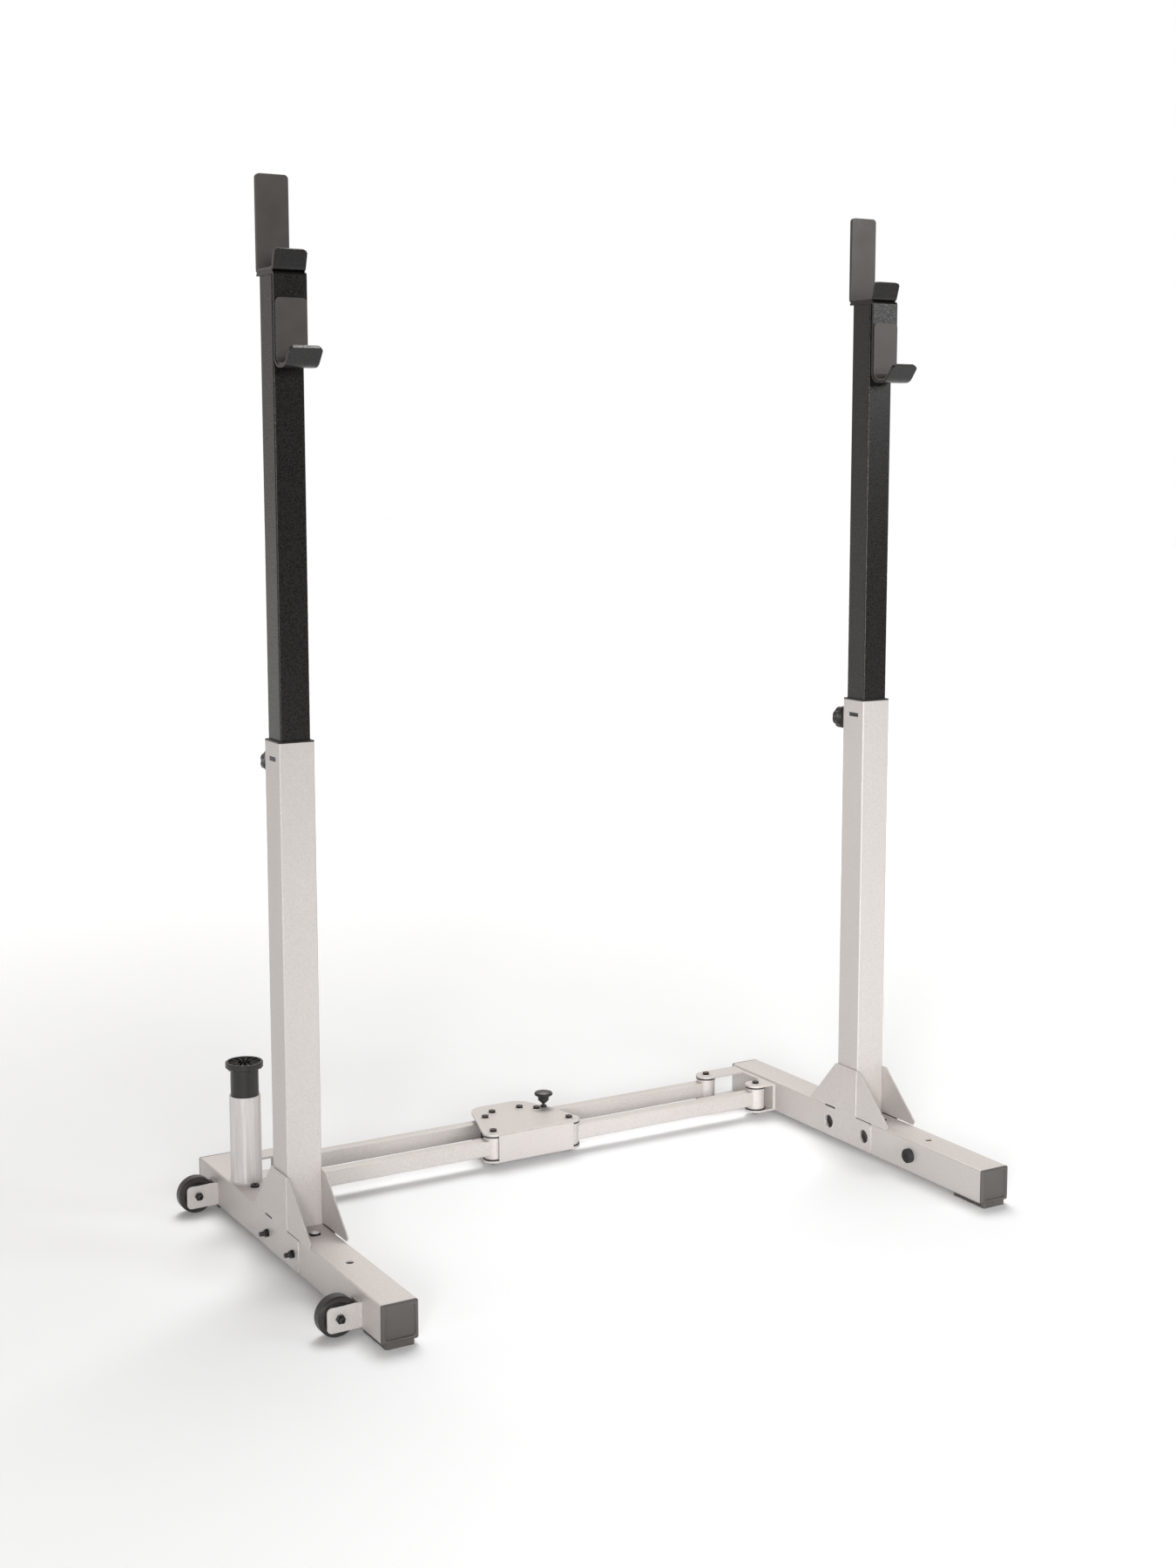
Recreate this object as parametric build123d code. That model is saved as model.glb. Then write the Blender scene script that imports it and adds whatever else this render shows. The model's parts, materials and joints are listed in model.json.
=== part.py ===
"""Folding, height-adjustable barbell squat rack.

Two stands, each a foot with an upright that telescopes, are joined near the floor by a
folding linkage: two pairs of parallel links that meet in a housing in the middle.
Millimetres, +Z up, -Y to the front (the side the hooks face), floor at z = 0.
"""
from build123d import *
from math import acos, cos, pi, radians, sin, tan
import os

# Overall layout
STAND_SPACING = 1200.0  # between the centre lines of the two uprights
WHEEL_REACH = 101.0     # from the left foot's centre line to the outside of its wheels
NUT_REACH = 50.0        # from a foot's centre line to the end of its side bolts
CENTRE_X = (WHEEL_REACH - NUT_REACH) / 2  # puts the origin under the middle of the bounding box
LEFT_X = CENTRE_X - STAND_SPACING / 2
RIGHT_X = CENTRE_X + STAND_SPACING / 2

# Feet
FOOT_SIZE = 63.0
FOOT_WALL = 2.5
FOOT_CORNER = 3.5
FOOT_HALF = 397.0       # half the length of the tube
CAP_FACE = 5.5          # thickness of an end cap's face
CAP_BEVEL = 2.5
CAP_RECESS = 3.0        # depth of the panel sunk in a cap's face
CAP_PLUG = 28.0         # how far a cap reaches into the tube
PAD_HEIGHT = 9.0
PAD_LENGTH = 84.0
PAD_WIDTH = 50.0
PAD_RIB_PITCH = 7.0
PAD_GROOVE = 3.0        # width of the grooves between the pad's ribs
PAD_GROOVE_DEPTH = 6.0
FOOT_Z = PAD_HEIGHT + FOOT_SIZE / 2
FOOT_TOP = PAD_HEIGHT + FOOT_SIZE
ACCESSORY_Y = -213.0
ACCESSORY_R = 6.5
DOME_Y = -70.0
SIDE_BOLT_Y = (-58.0, 54.0)
ACCESS_R = 13.0         # holes through which the side bolts are reached
BUMPER_Y = -196.0
BUMPER_R = 13.5
BUMPER_HEIGHT = 10.0
BUMPER_RING = (10.5, 8.5)  # radii of the groove in a bumper's face

# Lower posts and what holds them
POST_SIZE = 63.0
POST_WALL = 2.5
POST_CORNER = 2.5
POST_TOP = 897.0
BUSHING_FLANGE = 3.0
BUSHING_DEPTH = 31.0
SLOT_Y = -1.0
SLOT_Z = 869.5
SLOT_LENGTH = 30.0
SLOT_HEIGHT = 7.5
LOCK_Z = 855.0
PLATE = 3.0             # sheet of the side plates and gussets
PLATE_SHOULDER = 70.5   # top of the part of a side plate that lies on the foot
PLATE_SLIT = 74.0       # upper edge of the slits over the foot
GUSSET_LOW = 72.4
PLATE_TOP = 166.0

# Upper posts
UPPER_SIZE = 53.0
UPPER_WALL = 2.0
UPPER_CORNER = 2.5
UPPER_LOW = 745.0
UPPER_TOP = 1650.0
GUIDE_GAP = 0.3         # each side, between an upper post and its guides
GLIDE_HEIGHT = 40.0
HOLE_PITCH = 50.0
HOLE_COUNT = 12
HOLE_R = 5.5

# Cradle and hook at the top of each upper post
CRADLE_WIDTH = 56.0
CRADLE_STEEL = 4.0
CRADLE_TOP = 1813.0
CRADLE_FLAP = (-45.5, 1688.0)  # y and z of the front flap's tip
CRADLE_BACK = 37.0
LINER = 3.0
HOOK_WIDTH = 57.0
HOOK_STEEL = 4.5
HOOK_FACE = -38.5       # y of the hook's upright face
HOOK_SEAT = 1506.5      # z of the hook's steel seat
HOOK_LINER_TOP = 1613.0
HOOK_LIP = (-98.5, 1534.0)  # y and z of the cup's lip
TIP_R = 7.0

# Height lock
LOCK_PIN_R = 5.0
LOCK_TIP = 28.0         # y of the pin's tip when it is drawn out
COLLAR_END = 43.5
KNOB_START = 52.5
KNOB_END = 82.0
KNOB_R = 21.5

# Linkage
LINK_LENGTH = 450.0
FRONT_PIVOT = (84.5, 266.0)   # from the centre of the rack
REAR_PIVOT = (31.0, 372.0)
SHEET = 4.0             # flanges of the channels and plates of the housing
LINK_LOW = 10.5
LINK_TOP = 67.5
NOSE_R = 21.0
BAR_WIDTH = 25.0
BAR_HEIGHT = 30.0
BAR_WALL = 2.0
BARREL_R = 19.0
BARREL_BORE_R = 10.0
BUSH_FLANGE_R = 20.9
BUSH_FLANGE = 2.8
BUSH_DEPTH = 12.0
END_PLAY = 0.3
BOLT_R = 4.0
BOLT_HOLE_R = 4.1
BUSH_BORE_R = 4.05
HEX_ACROSS = 13.0
HEAD_HEIGHT = 5.0
NUT_HEIGHT = 6.0
LINK_Z = (LINK_LOW + LINK_TOP) / 2

# Sector gears on the rear links keep both sides of the fold together
GEAR_TEETH = 16
GEAR_THICKNESS = 12.0
GEAR_BACKLASH = 0.8
PRESSURE_ANGLE = radians(20)

# Housing
HOUSING_REAR = (31.0, 383.0)
HOUSING_REAR_R = 36.0
WALL = 2.0
WALL_END_GAP = 1.5      # each end of the wall stops short of the pivot
STOP_AT = (58.0, 350.0)
STOP_R = 9.0
FOLD_LOCK_AT = (77.0, 355.0)
FOLD_BOSS_R = 8.5
FOLD_PIN_R = 3.0
TAB = (16.0, 6.0)       # width and thickness of the lock tab on the right rear link
TAB_TOP = 56.0

# Storage socket
STORAGE_Y = 240.0
STORAGE_R = 27.8
STORAGE_WALL = 2.5
STORAGE_TOP = 231.0
SOCKET_TOP = 292.0
SOCKET_NECK_R = 25.0
SOCKET_WELL = 7.5       # depth of the well in the socket's flange
FIN_COUNT = 12

# Wheels
WHEEL_R = 33.0
WHEEL_WIDTH = 22.0
WHEEL_X = -68.0
WHEEL_Z = 33.5
WHEEL_Y = (-310.5, 321.5)
ARM_GAP = 27.0
ARM_END = -89.0
ARM_HEIGHT = 41.0
ARM_Z = 32.0


def block(x, y, z):
    """Box between two x, two y and two z values, each given as a pair."""
    size = [abs(high - low) for low, high in (x, y, z)]
    centre = [(low + high) / 2 for low, high in (x, y, z)]
    return Pos(*centre) * Box(*size)


def rod(radius, low, high, x=0.0, y=0.0):
    """Upright cylinder between two heights."""
    return Pos(x, y, (low + high) / 2) * Cylinder(radius, high - low)


def rod_x(radius, low, high, y, z):
    return Pos((low + high) / 2, y, z) * Rot(0, 90, 0) * Cylinder(radius, high - low)


def rod_y(radius, low, high, x, z):
    return Pos(x, (low + high) / 2, z) * Rot(90, 0, 0) * Cylinder(radius, high - low)


def square_tube(size, wall, corner, low, high):
    """Upright square tube with rounded corners."""
    outside = RectangleRounded(size, size, corner)
    inside = RectangleRounded(size - 2 * wall, size - 2 * wall, corner - wall + 0.5)
    return Pos(0, 0, low) * extrude(outside - inside, amount=high - low)


def square_bar(size, corner, low, high):
    return Pos(0, 0, low) * extrude(RectangleRounded(size, size, corner), amount=high - low)


def plate_yz(points, x_low, x_high):
    """Flat plate that stands along Y, from its outline's (y, z) points."""
    face = Plane.YZ * make_face(Polyline(*points, close=True))
    return Pos(x_low, 0, 0) * extrude(face, amount=x_high - x_low)


def hex_prism(low, high):
    head = RegularPolygon(HEX_ACROSS / 2, 6, major_radius=False)
    return Pos(0, 0, low) * extrude(head, amount=high - low)


def hex_bolt(grip, tail):
    """Bolt and nut along Z: the head stands on z = 0, the nut is under the grip."""
    bolt = hex_prism(0, HEAD_HEIGHT) + hex_prism(-grip - NUT_HEIGHT, -grip)
    return bolt + rod(BOLT_R, -grip - NUT_HEIGHT - tail, 0.1)


# Feet

def foot_tube():
    tube = square_tube(FOOT_SIZE, FOOT_WALL, FOOT_CORNER, -FOOT_HALF, FOOT_HALF)
    tube = Pos(0, 0, FOOT_Z) * Rot(90, 0, 0) * tube
    tube -= rod(ACCESSORY_R, FOOT_Z, FOOT_TOP + 1, 0, ACCESSORY_Y)
    tube -= rod(BOLT_HOLE_R, FOOT_Z, FOOT_TOP + 1, 0, DOME_Y)
    for y in SIDE_BOLT_Y:
        tube -= rod_x(BOLT_HOLE_R, -FOOT_SIZE, 0, y, FOOT_Z)
        tube -= rod_x(ACCESS_R, 0, FOOT_SIZE, y, FOOT_Z)
    return tube


def foot_cap():
    """Front end cap: face, plug in the tube and a ribbed pad under the tube."""
    outside = FOOT_HALF + CAP_FACE
    half = FOOT_SIZE / 2
    face = block((-half, half), (-outside, -FOOT_HALF), (PAD_HEIGHT - 0.5, FOOT_TOP))
    face = fillet(face.edges().filter_by(Axis.Y), FOOT_CORNER)
    face = chamfer(face.faces().sort_by(Axis.Y)[0].edges(), CAP_BEVEL)
    recess = FOOT_SIZE - 2 * CAP_BEVEL - 9
    panel = Plane.XZ.offset(outside - CAP_RECESS) * Pos(0, FOOT_Z) * RectangleRounded(recess, recess, 5)
    panel = extrude(panel, amount=CAP_RECESS + 1, taper=-30)
    inner = FOOT_SIZE - 2 * FOOT_WALL
    plug = Pos(0, -FOOT_HALF + CAP_PLUG / 2, FOOT_Z) * Box(inner, CAP_PLUG, inner)
    plug = fillet(plug.edges().filter_by(Axis.Y), FOOT_CORNER - FOOT_WALL + 0.5)
    hollow = inner - 2 * PLATE
    plug -= Pos(0, -FOOT_HALF + CAP_PLUG / 2 + PLATE, FOOT_Z) * Box(hollow, CAP_PLUG, hollow)
    pad_half = PAD_WIDTH / 2
    pad = block((-pad_half, pad_half), (1 - outside, PAD_LENGTH - outside), (0, PAD_HEIGHT))
    front = pad.faces().sort_by(Axis.Y)[0]
    pad = chamfer(front.edges().filter_by(Axis.Z), 3)
    grooves = int(PAD_LENGTH / PAD_RIB_PITCH) - 2
    for index in range(grooves):
        y = -FOOT_HALF + (index + 1) * PAD_RIB_PITCH
        pad -= Pos(0, y, 0) * Box(PAD_WIDTH + 2, PAD_GROOVE, 2 * PAD_GROOVE_DEPTH)
    return face - panel + plug + pad


def bumper():
    """Rubber stop on the inner side of a foot."""
    top = FOOT_SIZE / 2 + BUMPER_HEIGHT
    stop = rod_x(BUMPER_R, FOOT_SIZE / 2, top, BUMPER_Y, FOOT_Z + 1.5)
    stop = chamfer(stop.edges().sort_by(Axis.X)[-1], 2)
    outer, inner = BUMPER_RING
    stop -= rod_x(outer, top - 1.5, top + 1, BUMPER_Y, FOOT_Z + 1.5)
    stop += rod_x(inner, top - 2, top - 0.5, BUMPER_Y, FOOT_Z + 1.5)
    return stop - rod_x(5.5, top - 4, top + 1, BUMPER_Y, FOOT_Z + 1.5)


def side_plates():
    """Pair of plates that hold the post on the foot."""
    outline = [
        (-80, 13), (68, 13), (68, PLATE_SHOULDER), (34, PLATE_SHOULDER), (34, PLATE_SLIT),
        (116, PLATE_SLIT), (34, PLATE_TOP), (-32, PLATE_TOP), (-32, PLATE_SHOULDER),
        (-80, PLATE_SHOULDER),
    ]
    near = POST_SIZE / 2
    plate = plate_yz(outline, near, near + PLATE)
    along_x = plate.edges().filter_by(Axis.X)
    low_corners = along_x.filter_by_position(Axis.Z, 0, 20)
    front_corner = along_x.filter_by_position(Axis.Y, -85, -75).sort_by(Axis.Z)[-2:]
    plate = fillet(low_corners + front_corner, 8)
    wing = plate.edges().filter_by(Axis.X).filter_by_position(Axis.Z, 160, 170)
    plate = fillet(wing.filter_by_position(Axis.Y, 30, 40), 5)
    inner, outer = plate, mirror(plate, Plane.YZ)
    for y in SIDE_BOLT_Y:
        inner -= rod_x(ACCESS_R, near - 1, near + PLATE + 1, y, FOOT_Z)
        outer -= rod_x(BOLT_HOLE_R, -near - PLATE - 1, -near + 1, y, FOOT_Z)
    return [inner, outer]


def gussets():
    """Pair of triangles that carry on from the side plates in front of the post."""
    outline = [
        (-32.3, GUSSET_LOW), (-128, GUSSET_LOW), (-132, 80), (-42, PLATE_TOP), (-32.3, PLATE_TOP),
    ]
    near = POST_SIZE / 2
    gusset = plate_yz(outline, near + 0.4, near + PLATE - 0.4)
    return [gusset, mirror(gusset, Plane.YZ)]


def side_bolts():
    """Bolts that are reached through the inner wall; their nuts are outside."""
    inner_face = FOOT_WALL - FOOT_SIZE / 2
    grip = FOOT_WALL + PLATE
    tail = NUT_REACH + inner_face - grip - NUT_HEIGHT
    bolts = []
    for y in SIDE_BOLT_Y:
        bolts.append(Pos(inner_face, y, FOOT_Z) * Rot(0, 90, 0) * hex_bolt(grip, tail))
    return bolts


def dome_bolt():
    head = Pos(0, DOME_Y, FOOT_TOP) * Sphere(12)
    head = head & block((-9, 9), (DOME_Y - 9, DOME_Y + 9), (FOOT_TOP + 6, FOOT_TOP + 12))
    return Pos(0, 0, -6) * head + rod(BOLT_R, FOOT_TOP - 12, FOOT_TOP + 1, 0, DOME_Y)


def bumper_screw():
    low = FOOT_SIZE / 2 + BUMPER_HEIGHT - 4
    return rod_x(5, low, low + 2.5, BUMPER_Y, FOOT_Z + 1.5)


# Posts

def lower_post():
    post = square_tube(POST_SIZE, POST_WALL, POST_CORNER, FOOT_TOP, POST_TOP)
    slot = RectangleRounded(SLOT_LENGTH, SLOT_HEIGHT, 1.5)
    cut = extrude(Plane.YZ * Pos(SLOT_Y, SLOT_Z) * slot, amount=-POST_SIZE)
    post -= cut
    return post - rod_y(LOCK_PIN_R + 0.2, 0, POST_SIZE, 0, LOCK_Z)


def post_bushing():
    """Plastic guide in the mouth of the lower post, with a tab that snaps in the slot."""
    clear = UPPER_SIZE + 2 * GUIDE_GAP
    low = POST_TOP - BUSHING_DEPTH
    inner = POST_SIZE - 2 * POST_WALL
    guide = square_bar(POST_SIZE, POST_CORNER, POST_TOP, POST_TOP + BUSHING_FLANGE)
    guide = chamfer(guide.faces().sort_by(Axis.Z)[-1].edges(), 0.8)
    guide += square_bar(inner, POST_CORNER - POST_WALL + 0.5, low, POST_TOP)
    guide -= square_bar(clear, UPPER_CORNER, low - 1, POST_TOP + BUSHING_FLANGE + 1)
    half = SLOT_LENGTH / 2 - 3
    y = (SLOT_Y - half, SLOT_Y + half)
    tab = block((-inner / 2 - 1, -inner / 2), y, (SLOT_Z - 3.2, SLOT_Z + 3.2))
    return guide + tab


def lock_collar():
    """Threaded boss on the back of the lower post."""
    collar = rod_y(10, POST_SIZE / 2, COLLAR_END, 0, LOCK_Z)
    collar = chamfer(collar.edges().sort_by(Axis.Y)[-1], 1)
    return collar - rod_y(LOCK_PIN_R + 0.05, 0, COLLAR_END + 1, 0, LOCK_Z)


def height_knob():
    """Pull knob and its pin, turned about an axis along Y."""
    profile = Polyline(
        (0, LOCK_TIP), (LOCK_PIN_R - 1, LOCK_TIP), (LOCK_PIN_R, LOCK_TIP + 1),
        (LOCK_PIN_R, KNOB_START), (12, KNOB_START), (13, KNOB_START + 9),
        (KNOB_R, KNOB_START + 14), (KNOB_R, KNOB_END - 3), (KNOB_R - 3, KNOB_END),
        (0, KNOB_END), close=True,
    )
    knob = revolve(make_face(profile), Axis.Y)
    grips = 8
    for index in range(grips):
        angle = 2 * pi * index / grips
        x, z = (KNOB_R + 4) * cos(angle), (KNOB_R + 4) * sin(angle)
        knob -= rod_y(6.5, KNOB_START + 9.5, KNOB_END + 1, x, z)
    return Pos(0, 0, LOCK_Z) * knob


def upper_post():
    post = square_tube(UPPER_SIZE, UPPER_WALL, UPPER_CORNER, UPPER_LOW, UPPER_TOP)
    for index in range(HOLE_COUNT):
        post -= rod_y(HOLE_R, 0, UPPER_SIZE, 0, LOCK_Z + index * HOLE_PITCH)
    return post


def glide():
    """Plastic plug in the foot of the upper post that runs inside the lower post."""
    outside = POST_SIZE - 2 * POST_WALL - 2 * GUIDE_GAP
    plug = square_bar(outside, UPPER_CORNER, UPPER_LOW - GLIDE_HEIGHT, UPPER_LOW)
    inner = UPPER_SIZE - 2 * UPPER_WALL
    plug += square_bar(inner, UPPER_CORNER - UPPER_WALL + 0.5, UPPER_LOW, UPPER_LOW + 30)
    return plug - rod(15, UPPER_LOW - GLIDE_HEIGHT - 1, UPPER_LOW + 31)


# Bent strips

def shifted(path, distance):
    """The path moved to its left, its corners mitred."""
    runs = [(b - a).normalized() for a, b in zip(path, path[1:])]
    normals = [Vector(-run.Y, run.X) for run in runs]
    moved = [path[0] + normals[0] * distance]
    for corner, one, two in zip(path[1:-1], normals, normals[1:]):
        moved.append(corner + (one + two) * (distance / (1 + one.dot(two))))
    return moved + [path[-1] + normals[-1] * distance]


def bent_strip(path, bends, near, far, width):
    """Strip of sheet between two distances to the left of a (y, z) path.

    bends are the path's own bend radii, one for each corner."""
    path = [Vector(*point) for point in path]
    face = make_face(Polyline(*shifted(path, near), *reversed(shifted(path, far)), close=True))
    for side in (near, far):
        corners = shifted(path, side)
        for index, bend in enumerate(bends):
            one = path[index + 1] - path[index]
            two = path[index + 2] - path[index + 1]
            left_turn = one.cross(two).Z > 0
            radius = bend - side if left_turn else bend + side
            at = corners[index + 1]
            vertex = min(face.vertices(), key=lambda v: (Vector(v.X, v.Y) - at).length)
            face = fillet(vertex, radius)
    return extrude(Plane.YZ * face, amount=width / 2, both=True)


def round_tip(strip, point, radius):
    """Rounds the two corners of the strip's end that is nearest a (y, z) point."""
    short = [
        edge for edge in strip.edges()
        if edge.length < 8 and (edge.center() - Vector(edge.center().X, *point)).length < 5
        and abs((edge @ 0).X - (edge @ 1).X) < 0.01
    ]
    return fillet(short, radius)


CRADLE_SEAT = UPPER_TOP + HOOK_STEEL
CRADLE_PATH = [
    CRADLE_FLAP, (-35, CRADLE_SEAT), (CRADLE_BACK, CRADLE_SEAT), (CRADLE_BACK, CRADLE_TOP),
]
CRADLE_BENDS = [9, 8]
HOOK_CUP = [(HOOK_FACE, HOOK_SEAT), (-77, HOOK_SEAT), HOOK_LIP]
CUP_BENDS = [17, 18]


def cradle_plate():
    plate = bent_strip(CRADLE_PATH, CRADLE_BENDS, 0, CRADLE_STEEL, CRADLE_WIDTH)
    plate = round_tip(plate, (CRADLE_BACK - 2, CRADLE_TOP), TIP_R)
    return round_tip(plate, CRADLE_FLAP, TIP_R)


def cradle_liner():
    far = CRADLE_STEEL + LINER
    liner = bent_strip(CRADLE_PATH, CRADLE_BENDS, CRADLE_STEEL, far, CRADLE_WIDTH)
    liner = round_tip(liner, (CRADLE_BACK - 5.5, CRADLE_TOP), TIP_R)
    return round_tip(liner, (CRADLE_FLAP[0] + 5, CRADLE_FLAP[1] + 1), TIP_R)


def hook_strip():
    """Strip that lies on the top of the post, runs down its front and ends in a cup."""
    top = UPPER_TOP + HOOK_STEEL
    path = [(UPPER_SIZE / 2 + 7, top), (HOOK_FACE, top)] + HOOK_CUP
    strip = bent_strip(path, [6] + CUP_BENDS, 0, HOOK_STEEL, HOOK_WIDTH)
    strip = round_tip(strip, HOOK_LIP, TIP_R)
    gap = (HOOK_FACE + HOOK_STEEL, -UPPER_SIZE / 2)
    return strip + block((-20, 20), gap, (1535, 1630))


def hook_liner():
    path = [(HOOK_FACE, HOOK_LINER_TOP)] + HOOK_CUP
    liner = bent_strip(path, CUP_BENDS, -LINER, 0, HOOK_WIDTH - 3)
    liner = round_tip(liner, (HOOK_FACE - 1.5, HOOK_LINER_TOP), TIP_R)
    return round_tip(liner, HOOK_LIP, TIP_R)


# Linkage

def link_channel():
    """Bracket on the inner side of a foot, with an upper and a lower flange."""
    face = FOOT_SIZE / 2
    front = (STAND_SPACING / 2 - FRONT_PIVOT[0] - LINK_LENGTH, FRONT_PIVOT[1])
    rear = (STAND_SPACING / 2 - REAR_PIVOT[0] - LINK_LENGTH, REAR_PIVOT[1])
    low_y, high_y = front[1] - NOSE_R, rear[1] + NOSE_R
    flange = Pos((face + 5), (low_y + high_y) / 2) * Rectangle(10, high_y - low_y)
    for x, y in (front, rear):
        flange += Pos((face + x) / 2, y) * Rectangle(x - face, 2 * NOSE_R)
        flange += Pos(x, y) * Circle(NOSE_R)
        flange -= Pos(x, y) * Circle(BOLT_HOLE_R)
    channel = block((face, face + SHEET), (low_y, high_y), (LINK_LOW, LINK_TOP))
    for low in (LINK_LOW, LINK_TOP - SHEET):
        channel += Pos(0, 0, low) * extrude(flange, amount=SHEET)
    return channel


def pivot_bolt(x, y):
    return Pos(x, y, LINK_TOP) * hex_bolt(LINK_TOP - LINK_LOW, 0.5)


def channel_bolts():
    bolts = []
    for x, y in (FRONT_PIVOT, REAR_PIVOT):
        bolts.append(pivot_bolt(STAND_SPACING / 2 - x - LINK_LENGTH, y))
    return bolts


def link():
    """Link along +X from a pivot at the origin: a tube between two barrels."""
    flanges = 2 * (SHEET + END_PLAY + BUSH_FLANGE)
    half = (LINK_TOP - LINK_LOW - flanges) / 2
    inset = BARREL_BORE_R + 4
    ends = (inset, LINK_LENGTH - inset)
    height = BAR_HEIGHT / 2
    tube = block(ends, (-BAR_WIDTH / 2, BAR_WIDTH / 2), (LINK_Z - height, LINK_Z + height))
    tube = fillet(tube.edges().filter_by(Axis.X), 2.5)
    bore_y = BAR_WIDTH / 2 - BAR_WALL
    bore_z = height - BAR_WALL
    tube -= block(ends, (-bore_y, bore_y), (LINK_Z - bore_z, LINK_Z + bore_z))
    for x in (0, LINK_LENGTH):
        barrel = rod(BARREL_R, LINK_Z - half, LINK_Z + half, x)
        tube -= rod(BARREL_R - 0.5, LINK_Z - half, LINK_Z + half, x)
        tube += barrel - rod(BARREL_BORE_R, LINK_Z - half, LINK_Z + half, x)
    for x in (BARREL_R + 12, LINK_LENGTH - BARREL_R - 12):
        tube -= rod(3, LINK_Z - height - 1, LINK_Z, x)
    return tube


def flanged_bush():
    """Nylon bush that stands on z = 0 under its flange, its spigot going down."""
    bush = rod(BUSH_FLANGE_R, 0, BUSH_FLANGE) + rod(BARREL_BORE_R, -BUSH_DEPTH, 0)
    return bush - rod(BUSH_BORE_R, -BUSH_DEPTH - 1, BUSH_FLANGE + 1)


def link_bushes():
    """Four bushes of a link that starts at the origin."""
    top = LINK_TOP - SHEET - END_PLAY - BUSH_FLANGE
    bottom = LINK_LOW + SHEET + END_PLAY + BUSH_FLANGE
    bushes = []
    for x in (0, LINK_LENGTH):
        bushes.append(Pos(x, 0, top) * flanged_bush())
        bushes.append(Pos(x, 0, bottom) * Rot(180, 0, 0) * flanged_bush())
    return bushes


def involute(angle):
    return tan(angle) - angle


def tooth(pitch_r, centre):
    """Outline of one gear tooth whose middle points at an angle."""
    module = 2 * pitch_r / GEAR_TEETH
    base_r = pitch_r * cos(PRESSURE_ANGLE)
    half = (pi * module / 2 - GEAR_BACKLASH / 2) / 2 / pitch_r + involute(PRESSURE_ANGLE)
    tip_r = pitch_r + 0.85 * module
    root_r = pitch_r - 1.2 * module
    steps = 4
    flank = [(root_r - 0.5, half)]
    for step in range(steps + 1):
        radius = base_r + (tip_r - base_r) * step / steps
        flank.append((radius, half - involute(acos(min(1.0, base_r / radius)))))
    outline = [(r * cos(centre - a), r * sin(centre - a)) for r, a in flank]
    outline += [(r * cos(centre + a), r * sin(centre + a)) for r, a in reversed(flank)]
    return make_face(Polyline(*outline, close=True))


def gear_sector(phase):
    """Toothed sector for a right-hand link; phase moves the teeth by that many pitches."""
    pitch_r = REAR_PIVOT[0]
    pitch = 2 * pi / GEAR_TEETH
    root_r = pitch_r - 1.2 * 2 * pitch_r / GEAR_TEETH
    low, high = radians(78), radians(192)
    reach = 2 * root_r
    rim = [low + (high - low) * step / 3 for step in range(4)]
    wedge = [(0, 0)] + [(reach * cos(a), reach * sin(a)) for a in rim]
    sector = Circle(root_r) & make_face(Polyline(*wedge, close=True))
    for index in range(-1, GEAR_TEETH):
        centre = pi - (index + phase) * pitch
        if low + pitch / 3 < centre < high:
            sector += tooth(pitch_r, centre)
    sector -= Circle(BARREL_R - 1)
    return Pos(0, 0, LINK_Z - GEAR_THICKNESS / 2) * extrude(sector, amount=GEAR_THICKNESS)


def lock_tab():
    """Tab on the front of the right rear link, with the hole for the fold lock's pin."""
    x = FOLD_LOCK_AT[0] - REAR_PIVOT[0]
    y = FOLD_LOCK_AT[1] - REAR_PIVOT[1]
    width, thickness = TAB
    back = 2 - BAR_WIDTH / 2
    reach = (y - width / 2 + 2, back)
    tab = block((x - width / 2, x + width / 2), reach, (TAB_TOP - thickness, TAB_TOP))
    tab -= block((x - width, x + width), (back - 2, back + 1), (LINK_Z + BAR_HEIGHT / 2, 60))
    tab = fillet(tab.edges().filter_by(Axis.Z).sort_by(Axis.Y)[:2], 4)
    return tab - rod(FOLD_PIN_R + 0.4, TAB_TOP - 7, TAB_TOP + 1, x, y)


# Housing in the middle

def housing_outline():
    """Shape shared by both plates; a bulge on the right carries the fold lock."""
    disc = [Pos(x, FRONT_PIVOT[1]) * Circle(NOSE_R) for x in (-FRONT_PIVOT[0], FRONT_PIVOT[0])]
    disc += [Pos(x, HOUSING_REAR[1]) * Circle(HOUSING_REAR_R) for x in (-31, 31)]
    disc.append(Pos(*FOLD_LOCK_AT) * Circle(FOLD_BOSS_R))
    edges = [edge for circle in disc for edge in circle.edges()]
    return make_hull(edges)


def housing_plate(low):
    plate = Pos(0, 0, low) * extrude(housing_outline(), amount=SHEET)
    for x, y in (FRONT_PIVOT, REAR_PIVOT, STOP_AT):
        for side in (-1, 1):
            plate -= rod(BOLT_HOLE_R, low - 1, low + SHEET + 1, side * x, y)
    return plate


def housing_top():
    return housing_plate(LINK_TOP - SHEET) - rod(5, 60, 70, *FOLD_LOCK_AT)


def housing_wall():
    back = FRONT_PIVOT[1] - NOSE_R
    half = FRONT_PIVOT[0] - WALL_END_GAP
    wall = block((-half, half), (back - WALL, back), (LINK_LOW + 2, LINK_TOP - 2))
    upright = wall.edges().filter_by(Axis.Z).filter_by_position(Axis.Y, back - WALL - 1, back - 1)
    return fillet(upright, 1.5)


def housing_bolts():
    """Four pivot bolts and two stops, which are bolts with a sleeve around them."""
    bolts = []
    for side in (-1, 1):
        for x, y in (FRONT_PIVOT, REAR_PIVOT):
            bolts.append(pivot_bolt(side * x, y))
        x, y = side * STOP_AT[0], STOP_AT[1]
        sleeve = rod(STOP_R, LINK_LOW + SHEET, LINK_TOP - SHEET, x, y)
        bolts.append(pivot_bolt(x, y) + sleeve)
    return bolts


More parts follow.
